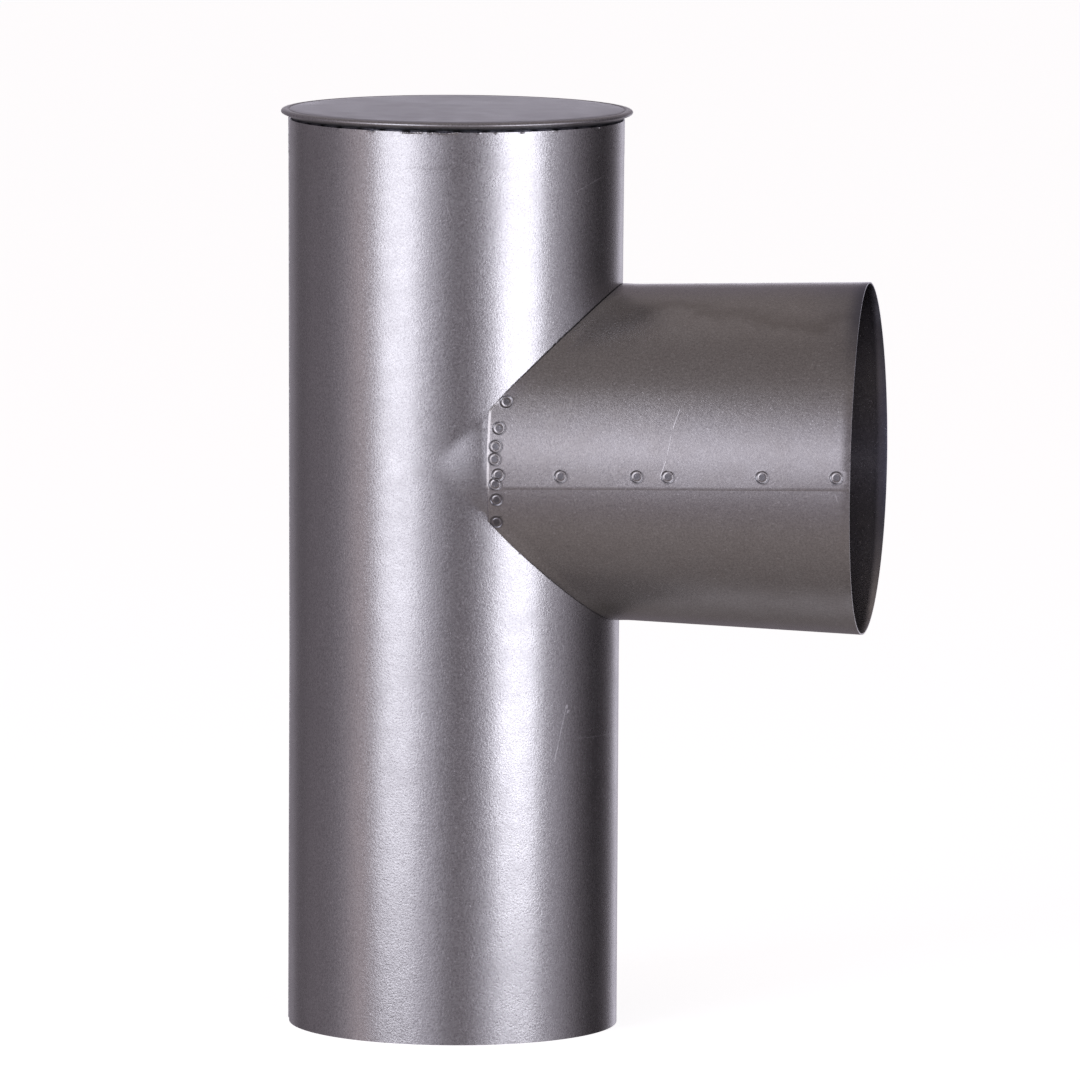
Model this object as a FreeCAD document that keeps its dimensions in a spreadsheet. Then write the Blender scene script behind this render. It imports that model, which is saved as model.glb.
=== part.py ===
import FreeCAD, Part
import math
import os
import Sketcher

# Stove pipe elbow with a plug cap, in 0.6 mm aluminised sheet steel.
# An upright pipe carries a conical branch at a right angle, and its top end is closed by a
# pressed cap that pulls out. The edge of the branch hole is drawn out as a collar, which turns
# into a broad tongue at the front and the back, and the branch is slipped over it and welded.
# The origin is the centre of the upright pipe's lower end, +Z runs up the pipe and +X along
# the branch.

SIZES = {
    # upright pipe
    "sheet": 0.6,
    "pipe_radius": 75.0,
    "top_widening": 1.2,
    "pipe_height": 414.0,
    "widening_start": 170.0,
    # lap seams, where one end of a rolled sheet lies over the other
    "lap_width": 12.0,
    "lap_blend": 30.0,
    # collar drawn out of the upright pipe round the branch hole
    "collar_rise": 10.0,
    # branch, placed from the upright pipe's axis
    "branch_below_top": 150.0,
    "branch_droop": 0.4,
    "branch_reach": 190.0,
    "branch_start": 27.0,
    "branch_knee": 60.0,
    "root_excess": 0.75,
    "mouth_widening": 4.45,
    "seam_drop_root": 10.3,
    "seam_drop_mouth": 6.0,
    "weld_gap": 0.05,
    "saddle_gap": 0.4,
    # spot weld prints
    "print_radius": 2.7,
    "print_depth": 0.15,
    # cap
    "cap_rise": 4.55,
    "rim_overhang": 3.8,
    "rim_height": 3.75,
    "rim_face": 0.4,
    "shoulder_width": 2.75,
    "seat_rise": 0.35,
    "plug_clearance": 0.3,
    "skirt_depth": 20.0,
    "skirt_plain": 1.5,
    "crimp_count": 40,
    "crimp_depth": 0.7,
    "crimp_width": 4.6,
}

# Spot welds on each tongue, as the distance from the upright pipe's axis along the branch and
# the angle below the branch's side in degrees. The back tongue repeats the front one.
TONGUE_WELDS = (
    (34.3, -22.2),
    (31.5, -12.9),
    (30.4, -6.7),
    (30.1, -2.4),
    (31.8, 2.9),
    (30.5, 6.1),
    (30.9, 11.7),
    (30.6, 19.9),
)
# Spot welds along the branch's lap seam, as the distance from the upright pipe's axis.
SEAM_WELDS = (59.2, 93.8, 107.9, 150.7, 184.3)

FULL_TURN = 360.0
SWEEP_MARGIN = 2.0
SEAM_MARGIN = 4.0
NOTHING = 1e-9
# a sketch's own numbers for its origin, its axes and the ends of a line
ORIGIN, H_AXIS, V_AXIS = -1, -1, -2
START, END = 1, 2

doc = FreeCAD.newDocument("stove_pipe_elbow")


def make_sheet():
    """Writes each driving dimension in a cell of its own, with its name as the alias."""
    sheet = doc.addObject("Spreadsheet::Sheet", "sizes")
    for row, (name, value) in enumerate(SIZES.items(), start=1):
        sheet.set(f"A{row}", name)
        sheet.set(f"B{row}", str(value))
        sheet.setAlias(f"B{row}", name)
    doc.recompute()


def make_worked_out():
    """Holds the lengths and angles that follow from the driving dimensions."""
    worked = doc.addObject("App::VarSet", "worked")
    rules = {
        "top_radius": "sizes.pipe_radius + sizes.top_widening",
        "root_radius": "sizes.pipe_radius + sizes.root_excess",
        "mouth_radius": "worked.root_radius + sizes.mouth_widening",
        "branch_height": "sizes.pipe_height - sizes.branch_below_top",
        "pipe_lap_shift": lap_shift("sizes.pipe_radius"),
        "branch_lap_shift": lap_shift("worked.root_radius"),
        "pipe_lap_radius": "sizes.pipe_radius + sizes.sheet - worked.pipe_lap_shift",
        "branch_lap_radius": "worked.root_radius + sizes.sheet - worked.branch_lap_shift",
        "collar_radius": "worked.root_radius - sizes.sheet - sizes.weld_gap",
        "collar_reach": "sizes.pipe_radius + sizes.collar_rise",
        "collar_far": "worked.collar_reach + 2 * sizes.collar_rise",
        "branch_slope": "sizes.mouth_widening / (sizes.branch_reach - sizes.branch_knee)",
        "seam_fall": "sizes.seam_drop_root - sizes.seam_drop_mouth",
        "seam_run": "sizes.branch_reach - sizes.branch_start",
        "rim_radius": "worked.top_radius + sizes.rim_overhang",
        "rim_low": "sizes.rim_height - sizes.rim_face",
        "flat_radius": "worked.rim_radius - sizes.shoulder_width",
        "skirt_radius": "worked.top_radius - sizes.sheet - sizes.plug_clearance",
        "rim_run": "sizes.rim_overhang + sizes.sheet",
        "cone_slope": "(worked.rim_low - sizes.seat_rise) / worked.rim_run",
        "cone_lean": "sqrt(1 + worked.cone_slope * worked.cone_slope)",
        "skirt_top": "sizes.seat_rise - worked.cone_slope * sizes.plug_clearance",
        "pleat_lean": "sqrt(1 + 4 * sizes.crimp_depth * sizes.crimp_depth"
        " / (sizes.crimp_width * sizes.crimp_width))",
        "brim_slope": "(sizes.cap_rise - sizes.rim_height) / sizes.shoulder_width",
        "dish_radius": "(sizes.print_radius * sizes.print_radius"
        " + sizes.print_depth * sizes.print_depth) / (2 * sizes.print_depth)",
        "fold_radius": "(sizes.cap_rise - worked.rim_low + worked.brim_slope * worked.flat_radius"
        " + worked.cone_slope * worked.rim_radius - sizes.sheet * (1 + worked.cone_lean))"
        " / (worked.cone_slope + worked.brim_slope)",
        "fold_rise": "sizes.cap_rise - sizes.sheet"
        " - worked.brim_slope * (worked.fold_radius - worked.flat_radius)",
    }
    for name in rules:
        worked.addProperty("App::PropertyFloat", name)
    for name, rule in rules.items():
        worked.setExpression(name, rule)
    angles = {
        "pipe_lap_sweep": lap_sweep("sizes.pipe_radius", "worked.pipe_lap_radius"),
        "branch_lap_sweep": lap_sweep("worked.root_radius", "worked.branch_lap_radius"),
        "pipe_lap_angle": lap_angle("worked.pipe_lap_radius"),
        "branch_lap_angle": lap_angle("worked.branch_lap_radius"),
        "seam_bearing": "asin((sizes.seam_drop_root + sizes.seam_drop_mouth)"
        " / (2 * worked.root_radius)) - 90 deg",
        "seam_skew": "atan(worked.seam_fall / worked.seam_run)",
    }
    for name in angles:
        worked.addProperty("App::PropertyAngle", name)
    for name, rule in angles.items():
        worked.setExpression(name, rule)
    doc.recompute()


def lap_shift(radius):
    """How far the centre of the lapping arc lies towards the seam, from the pipe's axis."""
    rise = f"(sizes.sheet * sizes.sheet + 2 * {radius} * sizes.sheet)"
    return f"{rise} / (2 * ({radius} * (1 - cos(sizes.lap_blend)) + sizes.sheet))"


def lap_sweep(radius, arc_radius):
    """The angle of the lapping arc, from the seam to where it runs into the round sheet."""
    return f"asin({radius} * sin(sizes.lap_blend) / {arc_radius}) + {SWEEP_MARGIN} deg"


def lap_angle(arc_radius):
    """The angle that the width of the lap takes up."""
    return f"sizes.lap_width / {arc_radius} * {math.degrees(1.0):.6f} deg"


def bound(kind, name, rules):
    """Adds an object whose properties follow expressions."""
    item = doc.addObject(kind, name)
    for prop, rule in rules.items():
        item.setExpression(prop, rule)
    return item


def fuse(name, parts):
    """Joins solids to one."""
    joined = doc.addObject("Part::MultiFuse", name)
    joined.Shapes = parts
    joined.Refine = True
    return joined


def cut(name, base, tools):
    """Takes solids away from another."""
    rest = doc.addObject("Part::Cut", name)
    rest.Base = base
    rest.Tool = tools[0] if len(tools) == 1 else fuse(name + "_cuts", tools)
    rest.Refine = True
    return rest


def common(name, parts):
    """Keeps what two solids share."""
    shared = doc.addObject("Part::MultiCommon", name)
    shared.Shapes = parts
    shared.Refine = True
    return shared


def flared(name, near, far, start, knee, end):
    """A straight round stretch along Z, then one whose radius changes evenly."""
    straight = bound(
        "Part::Cylinder",
        name + "_straight",
        {
            "Radius": near,
            "Height": f"{knee} - {start}",
            "Placement.Base.z": start,
        },
    )
    sloping = bound(
        "Part::Cone",
        name + "_sloping",
        {
            "Radius1": near,
            "Radius2": far,
            "Height": f"{end} - {knee}",
            "Placement.Base.z": knee,
        },
    )
    return fuse(name, [straight, sloping])


def lapping(name, near, far, start, knee, end, shift, bearing, low, high):
    """A sector of a flared stretch about an axis moved towards the seam.

    It runs from the angle low to the angle high before the seam's bearing.
    """
    placed = {
        "Placement.Base.x": f"{shift} * cos({bearing})",
        "Placement.Base.y": f"{shift} * sin({bearing})",
        "Placement.Rotation.Angle": f"{bearing} - ({high})",
    }
    straight = bound(
        "Part::Cylinder",
        name + "_straight",
        {
            "Radius": near,
            "Height": f"{knee} - {start}",
            "Angle": f"{high} - ({low})",
            "Placement.Base.z": start,
            **placed,
        },
    )
    sloping = bound(
        "Part::Cone",
        name + "_sloping",
        {
            "Radius1": near,
            "Radius2": far,
            "Height": f"{end} - {knee}",
            "Angle": f"{high} - ({low})",
            "Placement.Base.z": knee,
            **placed,
        },
    )
    return fuse(name, [straight, sloping])


def lay_along_branch(item):
    """Turns a shape that stands on Z so that it lies along the branch's axis."""
    item.Placement.Rotation = FreeCAD.Rotation(FreeCAD.Vector(0, 1, 0), 90.0)
    item.setExpression("Placement.Rotation.Angle", "90 deg + sizes.branch_droop * 1 deg")
    item.setExpression("Placement.Base.z", "worked.branch_height")


def weld_prints(name, places, radius, knee, slope, bearing):
    """Shallow round dents that spot welds leave in a pipe's outside, at places along Z."""
    prints = []
    for index, place in enumerate(places, start=1):
        surface = f"{radius} + max(0; {place} - {knee}) * {slope}"
        rules = {
            "Radius": "worked.dish_radius",
            "Placement.Base.x": f"{surface} + worked.dish_radius - sizes.print_depth",
            "Placement.Base.z": place,
        }
        prints.append(bound("Part::Sphere", f"{name}_{index}", rules))
    turned = doc.addObject("Part::Compound", name)
    turned.Links = prints
    turned.Placement.Rotation = FreeCAD.Rotation(FreeCAD.Vector(0, 0, 1), 1.0)
    turned.setExpression("Placement.Rotation.Angle", bearing)
    return turned


def make_main_pipe():
    """Upright pipe: rolled sheet, lap seam away from the branch, drawn collar and tongues."""
    ends = ("0", "sizes.widening_start", "sizes.pipe_height")
    skin = flared("pipe_skin", "sizes.pipe_radius", "worked.top_radius", *ends)
    lap = lapping(
        "pipe_lap",
        "worked.pipe_lap_radius",
        "worked.pipe_lap_radius + sizes.top_widening",
        *ends,
        "worked.pipe_lap_shift",
        "180 deg",
        "0 deg",
        "worked.pipe_lap_sweep",
    )
    collar_ends = ("0", "sizes.branch_knee", "worked.collar_far")
    collar_growth = "worked.branch_slope * (worked.collar_far - sizes.branch_knee)"
    drawn = flared(
        "collar_drawn",
        "worked.collar_radius",
        f"worked.collar_radius + {collar_growth}",
        *collar_ends,
    )
    lay_along_branch(drawn)
    trimmed_to = bound(
        "Part::Cylinder",
        "collar_trim",
        {"Radius": "worked.collar_reach", "Height": "sizes.pipe_height"},
    )
    collar = common("collar", [drawn, trimmed_to])
    outside = fuse("pipe_outside", [skin, lap, collar])

    bore = flared(
        "pipe_bore",
        "sizes.pipe_radius - sizes.sheet",
        "worked.top_radius - sizes.sheet",
        *ends,
    )
    lap_bore = lapping(
        "pipe_lap_bore",
        "worked.pipe_lap_radius - sizes.sheet",
        "worked.pipe_lap_radius + sizes.top_widening - sizes.sheet",
        *ends,
        "worked.pipe_lap_shift",
        "180 deg",
        "worked.pipe_lap_angle",
        "worked.pipe_lap_sweep",
    )
    branch_hole = flared(
        "branch_hole",
        "worked.collar_radius - sizes.sheet",
        f"worked.collar_radius - sizes.sheet + {collar_growth}",
        *collar_ends,
    )
    lay_along_branch(branch_hole)
    hollow = fuse("pipe_hollow", [bore, lap_bore, branch_hole])
    pipe = cut("main_pipe", outside, [hollow])
    pipe.Label = "main_pipe"
    return pipe


def make_branch_pipe():
    """Branch: rolled to a cone, lapped in front, cut to a saddle and straight at its tongues."""
    ends = ("sizes.branch_start", "sizes.branch_knee", "sizes.branch_reach")
    skin = flared("branch_skin", "worked.root_radius", "worked.mouth_radius", *ends)
    lap = lapping(
        "branch_lap_long",
        "worked.branch_lap_radius",
        "worked.branch_lap_radius + sizes.mouth_widening",
        *ends,
        "worked.branch_lap_shift",
        "worked.seam_bearing",
        f"{-SEAM_MARGIN} deg",
        "worked.branch_lap_sweep",
    )
    below_seam = bound(
        "Part::Box",
        "below_seam",
        {
            "Length": "2 * sizes.lap_width",
            "Width": "2 * worked.mouth_radius",
            "Height": "2 * sizes.branch_reach",
            "Placement.Base.x": "sizes.seam_drop_root",
            "Placement.Base.y": "-2 * worked.mouth_radius",
            "Placement.Base.z": "sizes.branch_start",
        },
    )
    below_seam.Placement.Rotation = FreeCAD.Rotation(FreeCAD.Vector(0, -1, 0), 1.0)
    below_seam.setExpression("Placement.Rotation.Angle", "worked.seam_skew")
    upper_layer = cut("branch_lap", lap, [below_seam])
    outside = fuse("branch_outside", [skin, upper_layer])

    bore = flared(
        "branch_bore",
        "worked.root_radius - sizes.sheet",
        "worked.mouth_radius - sizes.sheet",
        *ends,
    )
    lap_bore = lapping(
        "branch_lap_bore",
        "worked.branch_lap_radius - sizes.sheet",
        "worked.branch_lap_radius + sizes.mouth_widening - sizes.sheet",
        *ends,
        "worked.branch_lap_shift",
        "worked.seam_bearing",
        "worked.branch_lap_angle",
        "worked.branch_lap_sweep",
    )
    saddle = flared(
        "saddle",
        "sizes.pipe_radius + sizes.saddle_gap",
        "worked.top_radius + sizes.saddle_gap",
        "0",
        "sizes.widening_start",
        "sizes.pipe_height",
    )
    saddle.Placement.Rotation = FreeCAD.Rotation(FreeCAD.Vector(0, -1, 0), 90.0)
    saddle.setExpression("Placement.Rotation.Angle", "90 deg + sizes.branch_droop * 1 deg")
    saddle.setExpression("Placement.Base.x", "worked.branch_height * cos(sizes.branch_droop)")
    saddle.setExpression("Placement.Base.z", "worked.branch_height * sin(sizes.branch_droop)")
    hollow = fuse("branch_hollow", [bore, lap_bore, saddle])
    slope = ("sizes.branch_knee", "worked.branch_slope")
    seam_bearing = "worked.seam_bearing - worked.branch_lap_angle / 2"
    seam_places = [str(place) for place in SEAM_WELDS]
    seam_radius = "worked.root_radius + sizes.sheet"
    welds = [weld_prints("seam_weld", seam_places, seam_radius, *slope, seam_bearing)]
    for side, middle, turn in (("front", -90, 1), ("back", 90, -1)):
        for index, (place, angle) in enumerate(TONGUE_WELDS, start=1):
            name = f"{side}_tongue_weld_{index}"
            bearing = f"{middle + turn * angle} deg"
            welds.append(
                weld_prints(name, [str(place)], "worked.root_radius", *slope, bearing)
            )
    branch = cut("branch_pipe", outside, [hollow, *welds])
    branch.Label = "branch_pipe"
    lay_along_branch(branch)
    return branch


def plane_of(body, role):
    """The body's own origin plane or axis with this role."""
    return next(item for item in body.Origin.OriginFeatures if item.Role == role)


def new_sketch(body, name, role):
    """A sketch on one of the body's origin planes."""
    sketch = body.newObject("Sketcher::SketchObject", name)
    sketch.AttachmentSupport = (plane_of(body, role), [""])
    sketch.MapMode = "FlatFace"
    return sketch


def pin(sketch, kind, line, rule):
    """Ties the distance of a line's start from the origin, across or up, to an expression."""
    value = number_of(sketch, rule)
    if abs(value) < NOTHING:
        axis = V_AXIS if kind == "DistanceX" else H_AXIS
        sketch.addConstraint(Sketcher.Constraint("PointOnObject", line, START, axis))
        return
    points = (ORIGIN, START, line, START)
    number = sketch.addConstraint(Sketcher.Constraint(kind, *points, value))
    sketch.setExpression(f"Constraints[{number}]", rule)


def number_of(item, rule):
    """The present value of an expression, as a plain number."""
    value = item.evalExpression(rule)
    return float(getattr(value, "Value", value))


def closed_outline(sketch, corners):
    """Draws a closed outline whose corners follow pairs of expressions, across and up."""
    places = [
        FreeCAD.Vector(number_of(sketch, across), number_of(sketch, up), 0)
        for across, up in corners
    ]
    count = len(corners)
    for index in range(count):
        sketch.addGeometry(Part.LineSegment(places[index], places[(index + 1) % count]))
    for index in range(count):
        corner = (index, END, (index + 1) % count, START)
        sketch.addConstraint(Sketcher.Constraint("Coincident", *corner))
    for index, (across, up) in enumerate(corners):
        pin(sketch, "DistanceX", index, across)
        pin(sketch, "DistanceY", index, up)


def make_cover_cap():
    """Cap: one pressed sheet with a folded rim, a sloping underside and a crimped skirt."""
    body = doc.addObject("PartDesign::Body", "cover_cap")
    body.Label = "cover_cap"
    body.setExpression("Placement.Base.z", "sizes.pipe_height")
    press_cap(body)
    crimp_skirt(body)
    return body


def press_cap(body):
    """Revolves the cap's section: flat top, brim, folded rim, sloping underside and skirt."""
    section = new_sketch(body, "cap_section", "XZ_Plane")
    inner_skirt = "worked.skirt_radius - sizes.sheet"
    inner_skirt_top = "worked.skirt_top + sizes.sheet * (worked.cone_lean - worked.cone_slope)"
    corners = (
        ("0", "sizes.cap_rise"),
        ("worked.flat_radius", "sizes.cap_rise"),
        ("worked.rim_radius", "sizes.rim_height"),
        ("worked.rim_radius", "worked.rim_low"),
        ("worked.skirt_radius", "worked.skirt_top"),
        ("worked.skirt_radius", "-sizes.skirt_depth"),
        (inner_skirt, "-sizes.skirt_depth"),
        (inner_skirt, inner_skirt_top),
        ("worked.fold_radius", "worked.fold_rise"),
        ("worked.flat_radius", "sizes.cap_rise - sizes.sheet"),
        ("0", "sizes.cap_rise - sizes.sheet"),
    )
    closed_outline(section, corners)
    doc.recompute()

    pressed = body.newObject("PartDesign::Revolution", "cap_pressed")
    pressed.Profile = section
    pressed.ReferenceAxis = (section, ["V_Axis"])
    pressed.Angle = FULL_TURN
    doc.recompute()


def pleat(body, name, kind, apex, far):
    """A pleat of the skirt: a wedge that opens outwards from its apex, over the crimps' height."""
    section = new_sketch(body, name + "_section", "XY_Plane")
    section.setExpression("AttachmentOffset.Base.z", "-sizes.skirt_depth")
    half_width = f"({far} - ({apex})) * sizes.crimp_width / (2 * sizes.crimp_depth)"
    closed_outline(section, ((apex, "0"), (far, f"-({half_width})"), (far, half_width)))
    feature = body.newObject(kind, name)
    feature.Profile = section
    feature.setExpression("Length", "sizes.skirt_depth - sizes.skirt_plain")
    return feature


def crimp_skirt(body):
    """Presses a row of pleats into the skirt, each a groove outside and a ridge inside."""
    groove_apex = "worked.skirt_radius - sizes.crimp_depth"
    ridge_apex = f"{groove_apex} - sizes.sheet * worked.pleat_lean"
    skirt_middle = "worked.skirt_radius - sizes.sheet / 2"
    beyond_skirt = "worked.skirt_radius + sizes.crimp_depth"
    ridge = pleat(body, "crimp_ridge", "PartDesign::Pad", ridge_apex, skirt_middle)
    doc.recompute()
    groove = pleat(body, "crimp_groove", "PartDesign::Pocket", groove_apex, beyond_skirt)
    groove.Reversed = True
    doc.recompute()
    if groove.Shape.Volume >= ridge.Shape.Volume:
        raise RuntimeError("the crimp's groove takes nothing away")

    crimps = body.newObject("PartDesign::PolarPattern", "crimps")
    crimps.Originals = [ridge, groove]
    crimps.Axis = (groove.Profile[0], ["N_Axis"])
    crimps.Angle = FULL_TURN
    crimps.setExpression("Occurrences", "sizes.crimp_count")
    body.Tip = crimps
    doc.recompute()


def check(parts):
    """Stops the script if a feature failed or a piece isn't one valid solid."""
    for item in doc.Objects:
        if "Invalid" in item.State or "Error" in item.State:
            raise RuntimeError(f"{item.Label} failed: {item.State}")
    for part in parts:
        shape = part.Shape
        if shape.isNull() or not shape.isValid():
            raise RuntimeError(f"{part.Label} has no valid shape")
        if len(shape.Solids) != 1:
            raise RuntimeError(f"{part.Label} has {len(shape.Solids)} solids")


make_sheet()
make_worked_out()
parts = [make_main_pipe(), make_branch_pipe(), make_cover_cap()]
doc.recompute()
check(parts)
os.makedirs("parts", exist_ok=True)
for part in parts:
    shape = part.Shape
    print(part.Label, round(shape.Volume, 1), round(shape.Area, 1), len(shape.Faces))
    shape.exportStep(f"parts/{part.Label}.step")
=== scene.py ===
"""A plugged stove pipe tee in aluminised sheet steel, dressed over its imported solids.

Three sheets make the object: the upright pipe with the collar of its branch hole, the conical
branch that is spot welded over that collar, and the pressed cap that plugs the upright pipe.
Lengths are in metres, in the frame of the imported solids, with the origin in the middle of the
upright pipe's lower end and the branch pointing along +X.
"""

import logging
import math
from dataclasses import dataclass
from enum import Enum
from typing import Callable, Optional

import bmesh
import bpy
from mathutils import Matrix, Vector, geometry, noise


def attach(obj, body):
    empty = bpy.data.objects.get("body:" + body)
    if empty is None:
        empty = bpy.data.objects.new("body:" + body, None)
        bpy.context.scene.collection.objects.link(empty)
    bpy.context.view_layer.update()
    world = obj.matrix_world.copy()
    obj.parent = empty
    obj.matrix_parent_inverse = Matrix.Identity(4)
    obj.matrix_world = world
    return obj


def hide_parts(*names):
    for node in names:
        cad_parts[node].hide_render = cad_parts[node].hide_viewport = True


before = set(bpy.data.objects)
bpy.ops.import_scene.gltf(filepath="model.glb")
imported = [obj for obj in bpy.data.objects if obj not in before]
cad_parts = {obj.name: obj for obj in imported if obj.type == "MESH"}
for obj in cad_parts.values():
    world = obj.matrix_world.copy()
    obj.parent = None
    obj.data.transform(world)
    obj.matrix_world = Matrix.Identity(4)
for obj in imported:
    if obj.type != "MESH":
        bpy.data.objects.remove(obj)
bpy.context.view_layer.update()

MM = 0.001
FULL_TURN = 2 * math.pi
MERGED = 1e-6
CUT_EDGE = 0.12 * MM
# vertex layer: dark weld print burns, and on the cap painted shade in the crease and under the rim
PRINT_AND_SHADE_LAYER = "print_and_shade_mark"
LOG = logging.getLogger("stove_tee")


class Body(Enum):
    """The bodies that the pieces ride on."""

    PIPE = "pipe"
    CAP = "cap"


class Slot(Enum):
    """The material slots of the record."""

    PIPE = "pipe_sheet"
    BRANCH = "branch_sheet"
    CAP = "cap_sheet"


def smooth(value: float, low: float, high: float) -> float:
    """Rises from 0 at low to 1 at high along a smooth curve, or falls where low is higher.

    Args:
        value: where the curve is read.
        low: where it leaves 0.
        high: where it reaches 1.

    Returns:
        A number from 0 to 1.
    """
    share = min(max((value - low) / (high - low), 0.0), 1.0)
    return share * share * (3 - 2 * share)


def bump(distance: float, width: float) -> float:
    """A bell curve of a plain number: 1 at no distance, 1/e one width away."""
    return math.exp(-((distance / width) ** 2))


def ripple(angle: float, pace: float, seed: float, row: float) -> float:
    """An uneven wave round a cut edge, about -1 to 1 and the same in each run.

    Args:
        angle: the direction of the point in radians.
        pace: waves in a radian.
        seed: tells the waves of one edge apart.
        row: tells one edge from another.

    Returns:
        The wave's height at the angle.
    """
    return noise.noise(Vector((angle * pace, seed, row)))


class Value:
    """A number or colour that varies over a surface: an output socket with arithmetic."""

    def __init__(self, recipe: "Recipe", socket: bpy.types.NodeSocket) -> None:
        """Wraps one output socket of the recipe's tree."""
        self.recipe = recipe
        self.socket = socket

    def maths(self, operation: str, *others: object) -> "Value":
        """Adds a Math node that takes this value first.

        Args:
            operation: the Math node's operation.
            others: the values or numbers of its further sockets.

        Returns:
            The node's result.
        """
        sockets = dict(enumerate((self, *others)))
        return self.recipe.node("ShaderNodeMath", {"operation": operation}, sockets)

    def __add__(self, other: object) -> "Value":
        """This value plus another."""
        return self.maths("ADD", other)

    __radd__ = __add__

    def __sub__(self, other: object) -> "Value":
        """This value less another."""
        return self.maths("SUBTRACT", other)

    def __rsub__(self, other: object) -> "Value":
        """A number less this value."""
        return (self * -1) + other

    def __mul__(self, other: object) -> "Value":
        """This value times another."""
        return self.maths("MULTIPLY", other)

    __rmul__ = __mul__

    def __truediv__(self, other: object) -> "Value":
        """This value divided by another."""
        return self.maths("DIVIDE", other)

    def __pow__(self, other: object) -> "Value":
        """This value to a power."""
        return self.maths("POWER", other)

    def step(self, low: float, high: float) -> "Value":
        """Rises from 0 at low to 1 at high along a smooth curve, or falls where low is higher."""
        settings = {"interpolation_type": "SMOOTHSTEP"}
        sockets = {"Value": self, "From Min": low, "From Max": high}
        return self.recipe.node("ShaderNodeMapRange", settings, sockets)

    def bell(self, centre: float, width: float) -> "Value":
        """A bell curve: 1 at the centre, 1/e one width away from it."""
        return (((self - centre) / width) ** 2 * -1).maths("EXPONENT")

    def within(self) -> "Value":
        """This value held between 0 and 1."""
        return self.maths("MINIMUM", 1.0).maths("MAXIMUM", 0.0)


class Recipe:
    """Builds the nodes of one material or world."""

    def __init__(self, tree: bpy.types.NodeTree) -> None:
        """Works on this node tree."""
        self.tree = tree

    def node(
        self,
        kind: str,
        settings: Optional[dict] = None,
        sockets: Optional[dict] = None,
        output: object = 0,
    ) -> Value:
        """Adds a node, with its settings before its sockets.

        Args:
            kind: the node's type.
            settings: its properties by name.
            sockets: numbers, colours or values by socket name or number.
            output: the output to return, by name or number.

        Returns:
            The chosen output as a value.
        """
        node = self.tree.nodes.new(kind)
        for key, setting in (settings or {}).items():
            setattr(node, key, setting)
        for key, value in (sockets or {}).items():
            self.feed(node.inputs[key], value)
        return Value(self, node.outputs[output])

    def feed(self, socket: bpy.types.NodeSocket, value: object) -> None:
        """Links a value to a socket, or sets a plain number or colour on it."""
        if isinstance(value, Value):
            self.tree.links.new(value.socket, socket)
        else:
            socket.default_value = value

    def mix(self, factor: Value, low: object, high: object) -> Value:
        """Mixes two colours.

        Args:
            factor: 0 for the low colour, 1 for the high one.
            low: a colour or a value.
            high: a colour or a value.

        Returns:
            The mixed colour.
        """
        settings = {"data_type": "RGBA"}
        return self.node("ShaderNodeMix", settings, {0: factor, 6: low, 7: high}, 2)

    def split(self, vector: Value) -> list[Value]:
        """The three parts of a vector."""
        parts = self.node("ShaderNodeSeparateXYZ", None, {0: vector})
        return [Value(self, socket) for socket in parts.socket.node.outputs]

    def millimetres(self, place: Value) -> list[Value]:
        """The three parts of a place in metres, in millimetres."""
        return [part * 1000 for part in self.split(place)]


@dataclass(frozen=True)
class Scratch:
    """A fine line scored into a front face, from one point to another, seen from the front.

    The points are x and z in millimetres, and strength says how bright the line is.
    """

    start: tuple[float, float]
    end: tuple[float, float]
    width: float = 0.22
    strength: float = 1.0

    def mask(self, recipe: Recipe, across: Value, up: Value) -> Value:
        """How deep a point of the surface lies in the scratch.

        Args:
            recipe: the tree that takes the nodes.
            across: the surface point's x in millimetres.
            up: the surface point's z in millimetres.

        Returns:
            A value from 0 beside the line to its strength on it.
        """
        run = self.end[0] - self.start[0]
        rise = self.end[1] - self.start[1]
        length = math.hypot(run, rise)
        run, rise = run / length, rise / length
        along = (across - self.start[0]) * run + (up - self.start[1]) * rise
        aside = (across - self.start[0]) * rise - (up - self.start[1]) * run
        spill = along - along.maths("MAXIMUM", 0.0).maths("MINIMUM", length)
        distance = (spill * spill + aside * aside) ** 0.5
        return distance.step(self.width, 0.0) * self.strength


class Cloud(Enum):
    """The noises of the metal: features in a metre, detail and roughness."""

    GRAIN = (1250, 2.0, 0.6)
    BLOTCH = (95, 4.0, 0.6)
    SMUDGE = (13, 3.0, 0.55)
    SPARKLE = (850, 1.0, 0.5)


SPECK_TONE = (0.22, 0.21, 0.225, 1.0)
# tone of the weld print burns and of the cap's painted shade in its crease and neck
PRINT_AND_SHADE_TONE = (0.075, 0.08, 0.1, 1.0)
BRIGHT_TONE = (0.93, 0.93, 0.96, 1.0)
TIDE_TONE = (0.26, 0.24, 0.225, 1.0)
# the blue-black of the painted shade on inner faces
INNER_SHADE_TONE = (0.08, 0.09, 0.15, 1.0)


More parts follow.
